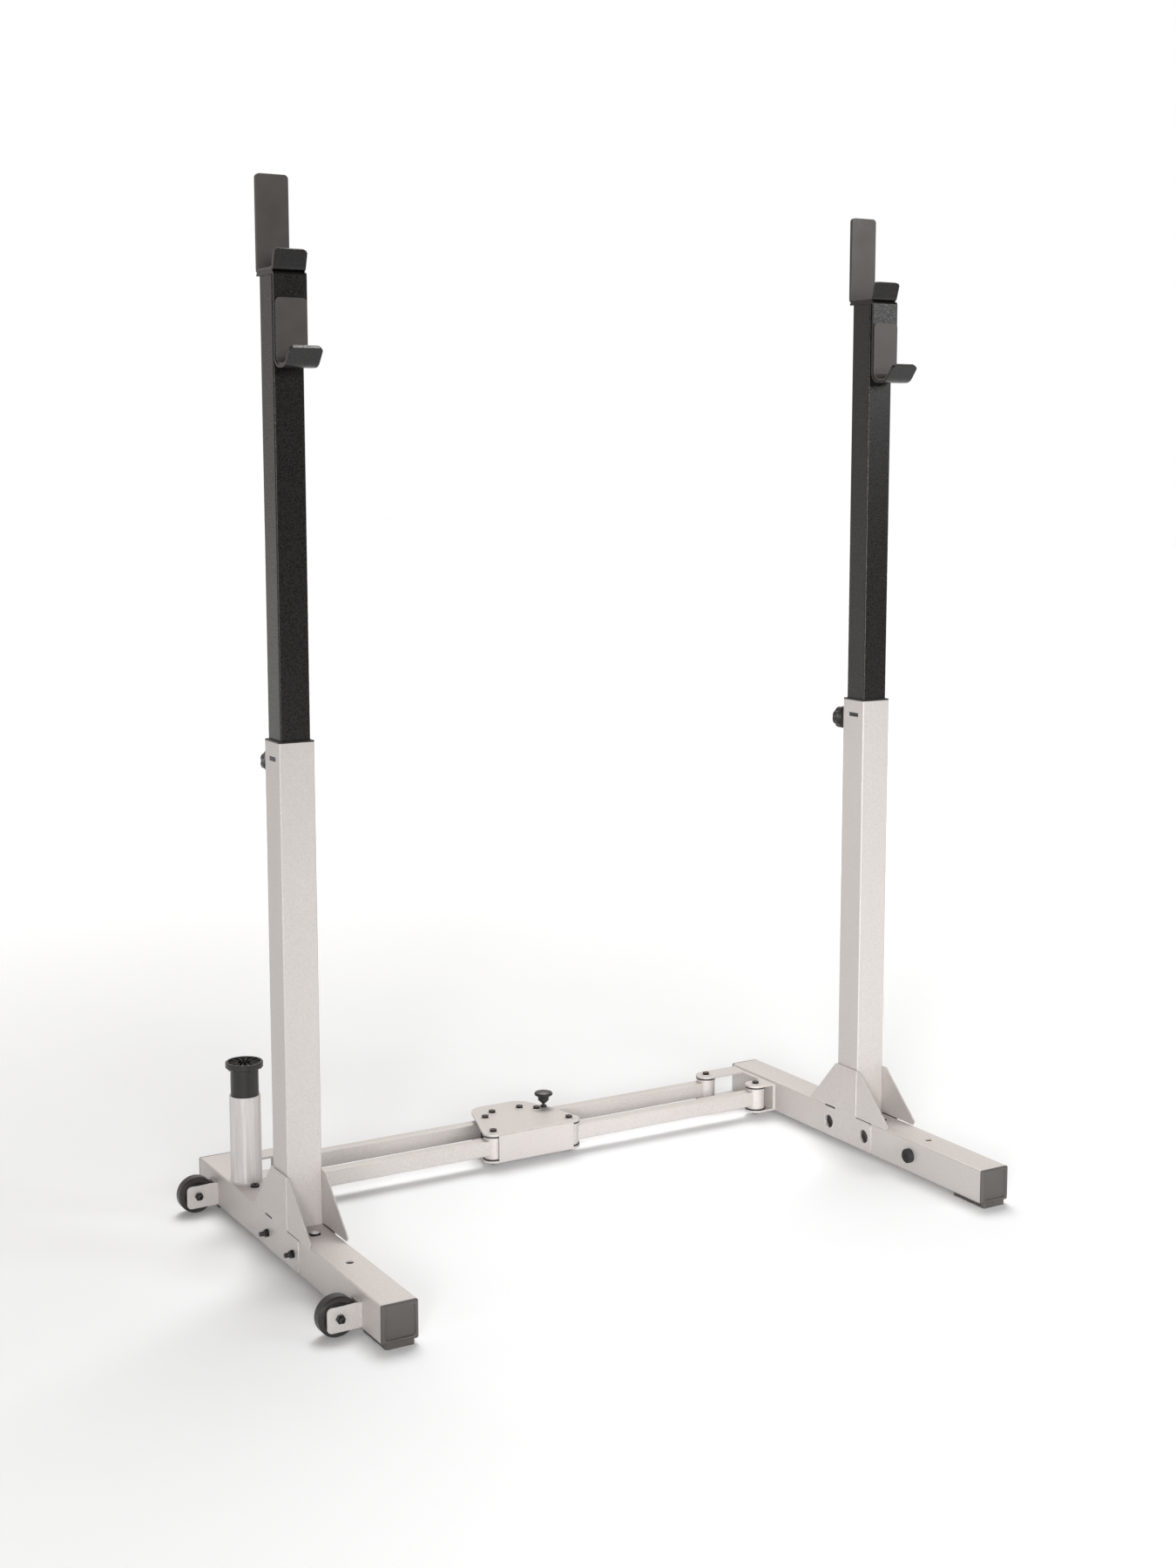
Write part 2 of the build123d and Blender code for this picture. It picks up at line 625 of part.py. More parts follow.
def fold_lock_collar():
    x, y = FOLD_LOCK_AT
    collar = rod(6.5, LINK_TOP, LINK_TOP + 3, x, y) + rod(5, LINK_TOP - SHEET, LINK_TOP, x, y)
    return collar - rod(FOLD_PIN_R + 0.05, 60, 75, x, y)


def fold_lock_knob():
    """Mushroom knob on a thin pin, drawn up."""
    profile = Polyline(
        (0, TAB_TOP + 1), (FOLD_PIN_R - 0.8, TAB_TOP + 1), (FOLD_PIN_R, TAB_TOP + 2),
        (FOLD_PIN_R, 76.5), (6, 76.5), (8, 79), (10.5, 81), (11.5, 88), (14, 91),
        (18, 92.5), (18.5, 95), (17, 97.5), (9, 99.5), (0, 99.5), close=True,
    )
    knob = revolve(Plane.XZ * make_face(profile), Axis.Z)
    return Pos(*FOLD_LOCK_AT, 0) * knob


# Storage socket and wheels

def storage_tube():
    tube = rod(STORAGE_R, FOOT_TOP, STORAGE_TOP, 0, STORAGE_Y)
    return tube - rod(STORAGE_R - STORAGE_WALL, FOOT_TOP - 1, STORAGE_TOP + 1, 0, STORAGE_Y)


def storage_socket():
    """Plastic insert with thin fins that grip what is stood in it."""
    inside = STORAGE_R - STORAGE_WALL
    socket = rod(inside, STORAGE_TOP - 40, STORAGE_TOP)
    socket += rod(SOCKET_NECK_R, STORAGE_TOP, SOCKET_TOP - 10)
    flange = rod(33.5, SOCKET_TOP - 10.5, SOCKET_TOP)
    socket += chamfer(flange.edges().filter_by(GeomType.CIRCLE), 1.2)
    socket -= rod(22, STORAGE_TOP - 41, SOCKET_TOP + 1)
    socket -= rod(29, SOCKET_TOP - SOCKET_WELL, SOCKET_TOP + 1)
    for index in range(FIN_COUNT):
        fin = block((12, 29.5), (-0.9, 0.9), (SOCKET_TOP - 14, SOCKET_TOP - 1.5))
        socket += Rot(0, 0, 360 * index / FIN_COUNT) * fin
    return Pos(0, STORAGE_Y, 0) * socket


def storage_bolt():
    y = STORAGE_Y - 40
    head = rod(8, FOOT_TOP, FOOT_TOP + 4, 0, y)
    return chamfer(head.edges().sort_by(Axis.Z)[-1], 1) - rod(3.5, FOOT_TOP + 2, 80, 0, y)


def wheel_bracket(y):
    face = -FOOT_SIZE / 2
    z = (ARM_Z - ARM_HEIGHT / 2, ARM_Z + ARM_HEIGHT / 2)
    outer = ARM_GAP / 2 + PLATE
    bracket = block((ARM_END, face), (y - outer, y + outer), z)
    tips = bracket.edges().filter_by(Axis.Y).filter_by_position(Axis.X, ARM_END - 1, ARM_END + 1)
    bracket = fillet(tips, 8)
    gap = (y - ARM_GAP / 2, y + ARM_GAP / 2)
    bracket -= block((ARM_END - 1, face - PLATE), gap, (z[0] - 1, z[1] + 1))
    return bracket - rod_y(BOLT_HOLE_R, y - outer - 1, y + outer + 1, WHEEL_X, WHEEL_Z)


def axle_bolt(y):
    """Axle whose nut and thread end face the front."""
    grip = ARM_GAP + 2 * PLATE
    return Pos(WHEEL_X, y + grip / 2, WHEEL_Z) * Rot(-90, 0, 0) * hex_bolt(grip, 6)


def wheel_profile(points):
    face = make_face(Polyline(*points, close=True))
    return Pos(WHEEL_X, 0, WHEEL_Z) * revolve(face, Axis.Y)


def wheel_tyre(y):
    half = WHEEL_WIDTH / 2
    points = [
        (22, -half + 2), (24, -half), (WHEEL_R - 3, -half), (WHEEL_R, -half + 3),
        (WHEEL_R, half - 3), (WHEEL_R - 3, half), (24, half), (22, half - 2),
    ]
    return Pos(0, y, 0) * wheel_profile(points)


def wheel_hub(y):
    half = WHEEL_WIDTH / 2
    bore = BUSH_BORE_R
    points = [
        (bore, -half - 2), (9, -half - 2), (9, -half + 4), (19, -half + 4), (19, -half + 1),
        (21, -half + 1), (22, -half + 2), (22, half - 2), (21, half - 1), (19, half - 1),
        (19, half - 4), (9, half - 4), (9, half + 2), (bore, half + 2),
    ]
    return Pos(0, y, 0) * wheel_profile(points)


# Assembly

def mirrored(shapes):
    return [mirror(shape, Plane.YZ) for shape in shapes]


def placed(shapes, x, y=0.0):
    return [Pos(x, y, 0) * shape for shape in shapes]


def stand_nodes():
    """Pieces of a foot whose inner side faces +X."""
    front_cap = foot_cap()
    bolts = side_bolts() + [dome_bolt(), bumper_screw()]
    return {
        "foot_tube": [foot_tube()],
        "foot_front_cap": [front_cap],
        "foot_rear_cap": [Rot(0, 0, 180) * front_cap],
        "post_plates": side_plates(),
        "gussets": gussets(),
        "stand_bolts": bolts,
        "link_channel": [link_channel()],
        "channel_bolts": channel_bolts(),
        "bumper": [bumper()],
    }


def post_nodes():
    """Pieces of an upright, the same on both stands."""
    return {
        "lower_post": [lower_post()],
        "post_bushing": [post_bushing()],
        "lock_collar": [lock_collar()],
        "height_knob": [height_knob()],
        "upper_post": [upper_post()],
        "glide": [glide()],
        "cradle_plate": [cradle_plate()],
        "cradle_liner": [cradle_liner()],
        "hook_strip": [hook_strip()],
        "hook_liner": [hook_liner()],
    }


def link_nodes():
    """The four links; a left link is a right one mirrored."""
    front = placed([link()], *FRONT_PIVOT)
    front_bushes = placed(link_bushes(), *FRONT_PIVOT)
    rear_bushes = placed(link_bushes(), *REAR_PIVOT)
    right_rear = placed([link() + gear_sector(0) + lock_tab()], *REAR_PIVOT)
    left_rear = placed([link() + gear_sector(0.5)], *REAR_PIVOT)
    return {
        "right_front_link": front,
        "left_front_link": mirrored(front),
        "right_rear_link": right_rear,
        "left_rear_link": mirrored(left_rear),
        "right_front_bushes": front_bushes,
        "left_front_bushes": mirrored(front_bushes),
        "right_rear_bushes": rear_bushes,
        "left_rear_bushes": mirrored(rear_bushes),
    }


def housing_nodes():
    return {
        "housing_top": [housing_top()],
        "housing_bottom": [housing_plate(LINK_LOW)],
        "housing_wall": [housing_wall()],
        "housing_bolts": housing_bolts(),
        "fold_lock_collar": [fold_lock_collar()],
        "fold_lock_knob": [fold_lock_knob()],
    }


def left_only_nodes():
    front, rear = WHEEL_Y
    return {
        "storage_tube": [storage_tube()],
        "storage_socket": [storage_socket()],
        "wheel_brackets": [wheel_bracket(front), wheel_bracket(rear)],
        "wheel_axles": [axle_bolt(front), axle_bolt(rear)],
        "front_tyre": [wheel_tyre(front)],
        "front_hub": [wheel_hub(front)],
        "rear_tyre": [wheel_tyre(rear)],
        "rear_hub": [wheel_hub(rear)],
    }


def build():
    nodes = {}
    for name, shapes in stand_nodes().items():
        nodes["left_" + name] = placed(shapes, LEFT_X)
        nodes["right_" + name] = placed(mirrored(shapes), RIGHT_X)
    nodes["left_stand_bolts"] += placed([storage_bolt()], LEFT_X)
    for name, shapes in post_nodes().items():
        nodes["left_" + name] = placed(shapes, LEFT_X)
        nodes["right_" + name] = placed(shapes, RIGHT_X)
    for name, shapes in {**link_nodes(), **housing_nodes()}.items():
        nodes[name] = placed(shapes, CENTRE_X)
    for name, shapes in left_only_nodes().items():
        nodes[name] = placed(shapes, LEFT_X)
    return nodes


os.makedirs("parts", exist_ok=True)
for node, shapes in build().items():
    solids = [solid for shape in shapes for solid in shape.solids()]
    piece = solids[0] if len(solids) == 1 else Compound(children=solids)
    export_step(piece, f"parts/{node}.step")
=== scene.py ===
"""Looks of a folding squat rack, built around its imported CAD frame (metres, +Z up)."""
import json
from math import cos, pi, radians, sin

import bmesh
import bpy
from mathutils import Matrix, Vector


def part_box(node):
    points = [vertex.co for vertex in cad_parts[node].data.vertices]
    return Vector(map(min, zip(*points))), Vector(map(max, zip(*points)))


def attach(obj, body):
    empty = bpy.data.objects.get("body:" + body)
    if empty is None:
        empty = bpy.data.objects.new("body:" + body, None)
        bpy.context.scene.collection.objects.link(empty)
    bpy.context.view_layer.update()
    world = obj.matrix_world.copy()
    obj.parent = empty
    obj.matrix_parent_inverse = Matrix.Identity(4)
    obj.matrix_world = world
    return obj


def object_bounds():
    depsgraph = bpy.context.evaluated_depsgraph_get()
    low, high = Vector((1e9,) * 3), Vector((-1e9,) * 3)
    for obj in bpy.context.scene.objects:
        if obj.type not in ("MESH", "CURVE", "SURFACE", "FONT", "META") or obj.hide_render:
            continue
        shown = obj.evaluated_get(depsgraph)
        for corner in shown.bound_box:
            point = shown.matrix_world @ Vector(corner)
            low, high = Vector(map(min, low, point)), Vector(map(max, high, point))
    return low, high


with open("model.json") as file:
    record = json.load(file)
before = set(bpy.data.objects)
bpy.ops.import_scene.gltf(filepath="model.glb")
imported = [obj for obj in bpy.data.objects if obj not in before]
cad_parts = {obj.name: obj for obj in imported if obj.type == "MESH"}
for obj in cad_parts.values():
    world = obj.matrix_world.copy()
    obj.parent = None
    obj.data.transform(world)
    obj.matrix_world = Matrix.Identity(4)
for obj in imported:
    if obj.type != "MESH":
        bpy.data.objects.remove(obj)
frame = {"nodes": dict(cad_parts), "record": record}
cad_box = [list(corner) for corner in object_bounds()]
nodes = frame["nodes"]
SIDES = ("left", "right")
MM = 0.001


# Camera, light and floor

CAMERA_AT = (-1.8724, -3.1733, 1.3482)
CAMERA_TURN = radians(-30.638)      # about +Z, from looking along +Y
CAMERA_DOWN = radians(7.298)        # below the horizon
CAMERA_LENS = 47.566                # for a sensor 36 wide
CAMERA_SHIFT = (-0.0029, -0.034)
FLOOR_X = (-24.0, 24.0)
FLOOR_Y = (-3.4, 44.0)
FLOOR_MIDDLE = (0.1, 0.0)
FLOOR_FADE = (0.7, 2.8)             # from its middle, where the floor lightens
FLOOR_GLOW = (1.0, 4.0)             # and where it starts to give light
BRIGHT_SIDE = (0.1, 1.0, 0.0)       # where the surroundings give the most light
AROUND_FACING = (-0.3, 0.85)        # how far towards that side, and the light given there
AROUND_LIGHT = (0.05, 0.72)
AROUND_TINT = (1.0, 0.94, 0.89, 1.0)
WHITE = (1.0, 1.0, 1.0, 1.0)


def add_object(name, data):
    made = bpy.data.objects.new(name, data)
    bpy.context.scene.collection.objects.link(made)
    return made


def set_range(node, start, end, low, high):
    """Makes a Map Range node run from low to high as its value goes from start to end."""
    for name, number in zip(("From Min", "From Max", "To Min", "To Max"), (start, end, low, high)):
        node.inputs[name].default_value = number


def make_camera():
    data = bpy.data.cameras.new("camera")
    data.sensor_width = 36.0
    data.lens = CAMERA_LENS
    data.shift_x, data.shift_y = CAMERA_SHIFT
    data.clip_end = 200.0
    camera = add_object("camera", data)
    camera.location = CAMERA_AT
    camera.rotation_euler = (pi / 2 - CAMERA_DOWN, 0.0, CAMERA_TURN)
    bpy.context.scene.camera = camera


def make_sun(name, strength, softness, elevation, azimuth):
    """Distant soft light; azimuth 0 comes from the front and 90 from the right."""
    data = bpy.data.lights.new(name, "SUN")
    data.energy = strength
    data.angle = radians(softness)
    sun = add_object(name, data)
    sun.rotation_euler = (radians(90 - elevation), 0.0, radians(azimuth))


def aim_light(name, data, location, target):
    """Puts a light at a location, turned towards a target."""
    light = add_object(name, data)
    light.location = location
    aim = Vector(target) - Vector(location)
    light.rotation_euler = aim.to_track_quat("-Z", "Y").to_euler()


def make_softbox(name, watts, size, location, target):
    """Square soft light aimed at a point."""
    data = bpy.data.lights.new(name, "AREA")
    data.energy = watts
    data.size = size
    aim_light(name, data, location, target)


def make_spot(name, watts, cone, location, target):
    """Round soft light with a cone in degrees, which fades out towards its edge."""
    data = bpy.data.lights.new(name, "SPOT")
    data.energy = watts
    data.spot_size = radians(cone)
    data.spot_blend = 1.0
    data.shadow_soft_size = 0.6
    aim_light(name, data, location, target)


def make_lights():
    """A key from the front, a fill from above and behind, and softer lights low down."""
    make_sun("overhead", 1.8, 32.0, 60.0, 150.0)
    make_sun("front", 1.3, 24.0, 13.0, -12.0)
    make_spot("right_spot", 640.0, 37.0, (-2.4, -3.4, 1.3), (0.8, 0.1, 0.45))
    make_spot("low_spot", 120.0, 26.0, (0.2, -4.2, 0.7), (0.05, 0.25, 0.05))
    make_spot("left_spot", 90.0, 24.0, (-3.4, -1.6, 1.0), (-0.65, -0.1, 0.02))
    make_softbox("right_card", 40.0, 1.4, (3.1, -3.2, 2.5), (0.6, 0.0, 1.7))


def make_world():
    """White surroundings for the eye; the light they give is strongest from behind."""
    world = bpy.data.worlds.new("studio")
    bpy.context.scene.world = world
    world.use_nodes = True
    tree = world.node_tree
    tree.nodes.clear()
    place = tree.nodes.new("ShaderNodeTexCoord")
    toward = tree.nodes.new("ShaderNodeVectorMath")
    toward.operation = "DOT_PRODUCT"
    toward.inputs[1].default_value = BRIGHT_SIDE
    span = tree.nodes.new("ShaderNodeMapRange")
    set_range(span, *AROUND_FACING, *AROUND_LIGHT)
    light = tree.nodes.new("ShaderNodeBackground")
    light.inputs["Color"].default_value = AROUND_TINT
    seen = tree.nodes.new("ShaderNodeBackground")
    seen.inputs["Color"].default_value = WHITE
    path = tree.nodes.new("ShaderNodeLightPath")
    mix = tree.nodes.new("ShaderNodeMixShader")
    out = tree.nodes.new("ShaderNodeOutputWorld")
    tree.links.new(place.outputs["Generated"], toward.inputs[0])
    tree.links.new(toward.outputs["Value"], span.inputs["Value"])
    tree.links.new(span.outputs["Result"], light.inputs["Strength"])
    tree.links.new(path.outputs["Is Camera Ray"], mix.inputs["Fac"])
    tree.links.new(light.outputs["Background"], mix.inputs[1])
    tree.links.new(seen.outputs["Background"], mix.inputs[2])
    tree.links.new(mix.outputs["Shader"], out.inputs["Surface"])


# Materials

class Surface:
    """A material's node tree with short calls for the nodes that these finishes use."""

    def __init__(self, name):
        self.material = bpy.data.materials.new(name)
        self.material.use_nodes = True
        self.tree = self.material.node_tree
        self.shader = self.tree.nodes["Principled BSDF"]
        self.place = self.node("ShaderNodeTexCoord").outputs["Object"]

    def node(self, kind, **inputs):
        made = self.tree.nodes.new(kind)
        for name, value in inputs.items():
            self.put(made.inputs[name.replace("_", " ")], value)
        return made

    def put(self, socket, value):
        if isinstance(value, bpy.types.NodeSocket):
            self.tree.links.new(value, socket)
        else:
            socket.default_value = value

    def noise(self, size, detail=2.0, roughness=0.5):
        """Noise whose blotches are about size metres across."""
        made = self.node("ShaderNodeTexNoise", Vector=self.place, Scale=1.0 / size,
                         Detail=detail, Roughness=roughness)
        return made.outputs["Fac"]

    def spread(self, value, low, high, start=0.3, end=0.7):
        """The value from start to end, remapped to run from low to high."""
        made = self.tree.nodes.new("ShaderNodeMapRange")
        self.put(made.inputs["Value"], value)
        set_range(made, start, end, low, high)
        return made.outputs["Result"]

    def mix(self, factor, first, second):
        made = self.tree.nodes.new("ShaderNodeMix")
        made.data_type = "RGBA"
        self.put(made.inputs["Factor"], factor)
        colours = [socket for socket in made.inputs if socket.type == "RGBA"]
        self.put(colours[0], first)
        self.put(colours[1], second)
        return [socket for socket in made.outputs if socket.type == "RGBA"][0]

    def math(self, operation, first, second):
        made = self.tree.nodes.new("ShaderNodeMath")
        made.operation = operation
        self.put(made.inputs[0], first)
        self.put(made.inputs[1], second)
        return made.outputs["Value"]

    def rounding(self, radius):
        """Normal that turns smoothly over edges, and a mask of how much it turns."""
        bevel = self.node("ShaderNodeBevel", Radius=radius)
        bevel.samples = 4
        flat = self.node("ShaderNodeNewGeometry").outputs["True Normal"]
        dot = self.tree.nodes.new("ShaderNodeVectorMath")
        dot.operation = "DOT_PRODUCT"
        self.put(dot.inputs[0], bevel.outputs["Normal"])
        self.put(dot.inputs[1], flat)
        return bevel.outputs["Normal"], self.spread(dot.outputs["Value"], 1.0, 0.0, 0.82, 0.995)

    def bumps(self, normal, layers):
        """Stacks (height, depth in metres) layers on a normal."""
        for height, depth in layers:
            bump = self.node("ShaderNodeBump", Strength=1.0, Distance=depth,
                             Height=height, Normal=normal)
            normal = bump.outputs["Normal"]
        return normal


def opaque(tone):
    return (*tone, 1.0)


def scaled(tone, factor):
    return opaque([channel * factor for channel in tone])


def powder_coat(name, tone, grain, depth, contrast, rough, rough_span, edge_wear_and_highlight_tone, metal=0.0):
    """Baked powder: fine grain, a slow drift of tone, and lighter edges, partly wear where the coat is
    thin and partly a painted highlight.
    """
    surface = Surface(name)
    fine = surface.noise(grain, 3.0, 0.6)
    speckle = surface.noise(grain * 2.6, 2.0, 0.55)
    drift = surface.noise(0.16, 2.0)
    dark, light = scaled(tone, 1 - contrast), scaled(tone, 1 + contrast)
    body = surface.mix(surface.spread(fine, 0.0, 1.0), dark, light)
    specks = surface.spread(speckle, 0.0, 0.45, 0.4, 0.75)
    body = surface.mix(specks, body, scaled(tone, 1 - 1.6 * contrast))
    body = surface.mix(surface.spread(drift, 0.0, 0.35), body, scaled(tone, 0.92))
    normal, edge = surface.rounding(0.9 * MM)
    # Edges move towards the edge tone: partly wear where the coat is thin, partly a painted highlight
    # along the edges.
    wear_and_highlight = surface.math("MULTIPLY", edge, surface.spread(surface.noise(0.012), 0.35, 0.95))
    surface.put(surface.shader.inputs["Base Color"], surface.mix(wear_and_highlight, body, opaque(edge_wear_and_highlight_tone)))
    roughness = surface.spread(speckle, rough - rough_span, rough + rough_span)
    surface.put(surface.shader.inputs["Roughness"], roughness)
    surface.shader.inputs["Metallic"].default_value = metal
    layers = [(speckle, depth * 1.5), (fine, depth)]
    surface.put(surface.shader.inputs["Normal"], surface.bumps(normal, layers))
    return surface.material


def moulded(name, tone, rough, rub_and_highlight_tone, grain=0.35 * MM, depth=0.02 * MM):
    """Moulded plastic: very fine spark texture, lighter edges that are partly rubbed and partly a
    painted highlight, faint flow marks.
    """
    surface = Surface(name)
    fine = surface.noise(grain, 2.0, 0.5)
    flow = surface.noise(0.045, 3.0, 0.6)
    body = surface.mix(surface.spread(flow, 0.0, 1.0), scaled(tone, 0.9), scaled(tone, 1.1))
    body = surface.mix(surface.spread(fine, 0.0, 0.3), body, scaled(tone, 1.25))
    normal, edge = surface.rounding(0.8 * MM)
    # Edges take the lighter rub tone: partly rubbing, partly a painted highlight along the edges.
    surface.put(surface.shader.inputs["Base Color"], surface.mix(edge, body, opaque(rub_and_highlight_tone)))
    surface.put(surface.shader.inputs["Roughness"], surface.spread(flow, rough - 0.05, rough + 0.07))
    surface.put(surface.shader.inputs["Normal"], surface.bumps(normal, [(fine, depth)]))
    return surface.material


def drawn_tube(name, tone, rough):
    """Plated tube with long streaks left by drawing it."""
    surface = Surface(name)
    stretched = surface.node("ShaderNodeMapping", Vector=surface.place, Scale=(1.0, 1.0, 0.03))
    streaks = surface.node("ShaderNodeTexNoise", Vector=stretched.outputs["Vector"],
                           Scale=210.0, Detail=3.0, Roughness=0.6).outputs["Fac"]
    grain = surface.noise(1.2 * MM, 2.0)
    body = surface.mix(surface.spread(streaks, 0.0, 1.0), scaled(tone, 0.78), scaled(tone, 1.18))
    body = surface.mix(surface.spread(grain, 0.0, 0.4), body, scaled(tone, 1.12))
    normal, edge = surface.rounding(0.6 * MM)
    # Edges take a lighter tone than the body: a painted highlight along the edges.
    surface.put(surface.shader.inputs["Base Color"], surface.mix(edge, body, scaled(tone, 1.4)))
    surface.put(surface.shader.inputs["Roughness"], surface.spread(streaks, rough - 0.08, rough + 0.10))
    surface.shader.inputs["Metallic"].default_value = 0.4
    layers = [(streaks, 0.03 * MM), (grain, 0.02 * MM)]
    surface.put(surface.shader.inputs["Normal"], surface.bumps(normal, layers))
    return surface.material


def oxide_steel(name, tone, rough, edge_wear_and_highlight_tone):
    """Black oxide on steel: slightly mottled, with lighter corners, partly rubbed and partly a painted
    highlight.
    """
    surface = Surface(name)
    mottle = surface.noise(0.004, 3.0, 0.6)
    body = surface.mix(surface.spread(mottle, 0.0, 1.0), scaled(tone, 0.7), scaled(tone, 1.3))
    normal, edge = surface.rounding(0.5 * MM)
    # Edges move towards the edge tone: partly rubbing, partly a painted highlight on the corners and
    # facets.
    surface.put(surface.shader.inputs["Base Color"], surface.mix(edge, body, opaque(edge_wear_and_highlight_tone)))
    surface.put(surface.shader.inputs["Roughness"], surface.spread(mottle, rough - 0.08, rough + 0.1))
    surface.shader.inputs["Metallic"].default_value = 0.75
    surface.put(surface.shader.inputs["Normal"], surface.bumps(normal, [(mottle, 0.04 * MM)]))
    return surface.material


def plain_floor():
    """Pale floor that lightens away from its middle."""
    surface = Surface("floor")
    away = surface.tree.nodes.new("ShaderNodeVectorMath")
    away.operation = "LENGTH"
    surface.put(away.inputs[0], surface.place)
    out = surface.spread(away.outputs["Value"], 0.0, 1.0, *FLOOR_FADE)
    tone = surface.mix(out, opaque((0.90, 0.91, 0.92)), opaque((0.97, 0.98, 0.99)))
    surface.put(surface.shader.inputs["Base Color"], tone)
    surface.shader.inputs["Emission Color"].default_value = WHITE
    glow = surface.spread(away.outputs["Value"], 0.0, 0.25, *FLOOR_GLOW)
    surface.put(surface.shader.inputs["Emission Strength"], glow)
    surface.shader.inputs["Roughness"].default_value = 0.9
    surface.shader.inputs["Specular IOR Level"].default_value = 0.1
    return surface.material


def make_finishes():
    """One material for each of the record's slots."""
    return {
        "silver_coat": powder_coat(
            "silver_coat", (0.575, 0.54, 0.52), grain=0.9 * MM, depth=0.05 * MM, contrast=0.19,
            rough=0.46, rough_span=0.08, edge_wear_and_highlight_tone=(0.90, 0.87, 0.84), metal=0.3),
        "zinc_steel": drawn_tube("zinc_steel", (0.64, 0.61, 0.595), 0.48),
        "black_coat": powder_coat(
            "black_coat", (0.0070, 0.0058, 0.0054), grain=1.0 * MM, depth=0.045 * MM, contrast=0.7,
            rough=0.34, rough_span=0.14, edge_wear_and_highlight_tone=(0.028, 0.025, 0.024)),
        "grey_plastic": moulded(
            "grey_plastic", (0.074, 0.066, 0.061), 0.44, rub_and_highlight_tone=(0.20, 0.185, 0.17)),
        "black_plastic": moulded(
            "black_plastic", (0.015, 0.0138, 0.0133), 0.36, rub_and_highlight_tone=(0.06, 0.056, 0.054)),
        "black_steel": oxide_steel(
            "black_steel", (0.028, 0.026, 0.026), 0.25, edge_wear_and_highlight_tone=(0.22, 0.21, 0.20)),
        "rubber": moulded(
            "rubber", (0.020, 0.019, 0.019), 0.72, rub_and_highlight_tone=(0.035, 0.034, 0.033),
            grain=0.6 * MM, depth=0.05 * MM),
        "tyre": moulded(
            "tyre", (0.018, 0.0155, 0.015), 0.40, rub_and_highlight_tone=(0.055, 0.05, 0.048),
            grain=0.5 * MM, depth=0.04 * MM),
    }


def dress_nodes(finishes):
    slots = {part["node"]: part["material_slot"] for part in frame["record"]["subparts"]}
    for name, piece in nodes.items():
        piece.data.materials.clear()
        piece.data.materials.append(finishes[slots[name]])


# Small pieces

GUSSET_BEAD = 1.3 * MM              # radii of the weld beads
CHANNEL_BEAD = 1.6 * MM
TUBE_BEAD = 1.8 * MM
BRACKET_BEAD = 1.3 * MM
WHEELS = ("front_hub", "rear_hub")
BRACKET_REACH = 16.5 * MM           # from a wheel's middle to its bracket's welds
AXLE_REACH = 22.5 * MM              # from a wheel's middle to its axle's thread
AXLE_THREAD = 5.8 * MM
BOLT_R = 4 * MM                     # shanks of the side bolts and wheel axles
SIDE_BOLTS_Y = (-58 * MM, 54 * MM)
SIDE_BOLT_THREAD = 9.3 * MM
NUT_DEPTH = 6 * MM
DOME_BOLT_Y = -70 * MM
DOME_R = 12.25 * MM                 # the crown's sphere, whose centre lies below the foot's top
DOME_SUNK = 6 * MM
DOME_RIM = 3.2 * MM                 # heights of the crown's rim and top above the foot
DOME_TOP = 6.08 * MM
FRONT_SLIT = (-79 * MM, -32.5 * MM, 0.5 * MM)   # y from and to, and height above the foot
REAR_SLIT = (33.5 * MM, 69 * MM, 2.2 * MM)
SLIT_FOOT = -1.6 * MM
WASHER = (4.2 * MM, 9.8 * MM, 1.2 * MM)         # bore and rim radii, thickness
FLANGE_R = 20.9 * MM                # flanges of the link bushes
FRONT_PIVOT_X = 84.5 * MM           # places in the housing, from its middle
REAR_PIVOT_X = 31 * MM
STOP_BOLT = (58 * MM, 350 * MM)
LINK_LENGTH = 450 * MM


def mesh_piece(name, body, slot, bm, finishes, smooth=True):
    """A finished mesh piece that rides on a body and takes a slot's finish."""
    mesh = bpy.data.meshes.new(name)
    bmesh.ops.recalc_face_normals(bm, faces=bm.faces)
    bm.to_mesh(mesh)
    bm.free()
    for face in mesh.polygons:
        face.use_smooth = smooth
    mesh.materials.append(finishes[slot])
    piece = add_object(name, mesh)
    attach(piece, body)


def loft(bm, rings, closed=False):
    """Skins a row of rings of vertices; open lofts get end faces."""
    rows = [[bm.verts.new(point) for point in ring] for ring in rings]
    pairs = list(zip(rows, rows[1:]))
    if closed:
        pairs.append((rows[-1], rows[0]))
    count = len(rows[0])
    for one, two in pairs:
        for index in range(count):
            after = (index + 1) % count
            bm.faces.new((one[index], one[after], two[after], two[index]))
    if not closed:
        bm.faces.new(rows[0])
        bm.faces.new(rows[-1])


def bead_rings(points, directions, radius, ripple, turns=10):
    """Round rings along a row of points, swelling and shrinking as a weld's ripples do."""
    rings = []
    for index, (point, along) in enumerate(zip(points, directions)):
        across = along.cross(Vector((0, 0, 1)))
        across = across.normalized() if across.length > 0.1 else Vector((1, 0, 0))
        over = along.cross(across).normalized()
        size = radius * (1 + ripple * sin(index * pi / 2))
        rings.append([point + (across * cos(2 * pi * k / turns) + over * sin(2 * pi * k / turns)) * size
                      for k in range(turns)])
    return rings


def straight_bead(bm, start, end, radius, ripple=0.10):
    """Weld bead from start to end, tapered at both ends."""
    start, end = Vector(start), Vector(end)
    steps = max(8, round((end - start).length / (radius * 0.45)))
    along = (end - start).normalized()
    points = [start.lerp(end, step / steps) for step in range(steps + 1)]
    rings = bead_rings(points, [along] * len(points), radius, ripple)
    for place, ring in ((0, rings[0]), (-1, rings[-1])):
        centre = points[place]
        rings[place] = [centre + (point - centre) * 0.35 for point in ring]
    loft(bm, rings)


